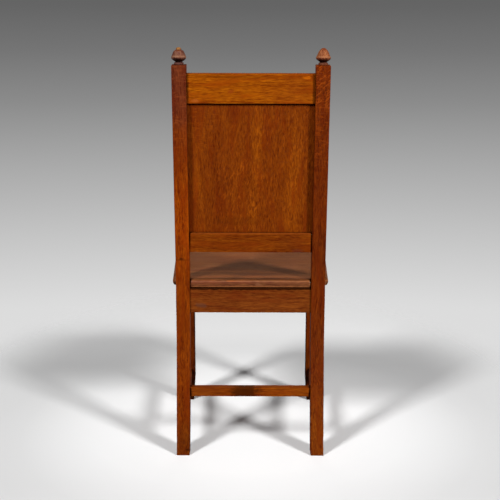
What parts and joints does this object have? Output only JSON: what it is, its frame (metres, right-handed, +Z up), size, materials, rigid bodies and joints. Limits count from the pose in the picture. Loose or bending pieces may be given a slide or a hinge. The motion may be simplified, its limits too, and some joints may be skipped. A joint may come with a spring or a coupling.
{
  "type": "hall chair",
  "caption": "Oak hall chair with a tall raked panel back, turned acorn finials on its posts, a solid seat board with a moulded edge, and square legs joined by low stretchers.",
  "frame": {"origin": "on the floor under the middle of the chair's bounding box", "axes": "+Z up; the sitter faces -Y; +X to the sitter's left"},
  "size_m": [0.4454, 0.4588, 1.0444],
  "materials": {
    "post_oak": "quarter-sawn oak, red-brown stain under worn satin wax",
    "leg_oak": "straight-grained oak, red-brown stain under worn satin wax",
    "rail_oak": "oak with lengthwise grain, orange-brown stain under satin wax",
    "top_rail_oak": "oak faded to a bright orange-brown under satin wax",
    "panel_oak": "quarter-sawn oak board with upright grain and fine ray fleck, red-brown stain",
    "seat_oak": "oak board worn to a grey-brown satin sheen",
    "finial_oak": "turned oak, lighter on its worn high spots",
    "block_wood": "unfinished sawn softwood, aged",
    "screw_steel": "dull steel, slotted countersunk head"
  },
  "bodies": {
    "root": {"rear_post_left": "post_oak", "rear_post_right": "post_oak", "finial_left": "finial_oak", "finial_right": "finial_oak", "top_rail": "top_rail_oak", "lower_back_rail": "rail_oak", "back_panel": "panel_oak", "seat_board": "seat_oak", "rear_seat_rail": "rail_oak", "front_seat_rail": "rail_oak", "side_seat_rail_left": "rail_oak", "side_seat_rail_right": "rail_oak", "front_leg_left": "leg_oak", "front_leg_right": "leg_oak", "rear_stretcher": "rail_oak", "side_stretcher_left": "rail_oak", "side_stretcher_right": "rail_oak", "corner_block_rear_left": "block_wood", "corner_block_rear_right": "block_wood", "corner_block_front_left": "block_wood", "corner_block_front_right": "block_wood", "seat_screw_rear_left": "screw_steel", "seat_screw_rear_right": "screw_steel", "seat_screw_front_left": "screw_steel", "seat_screw_front_right": "screw_steel"}
  },
  "joints": []
}
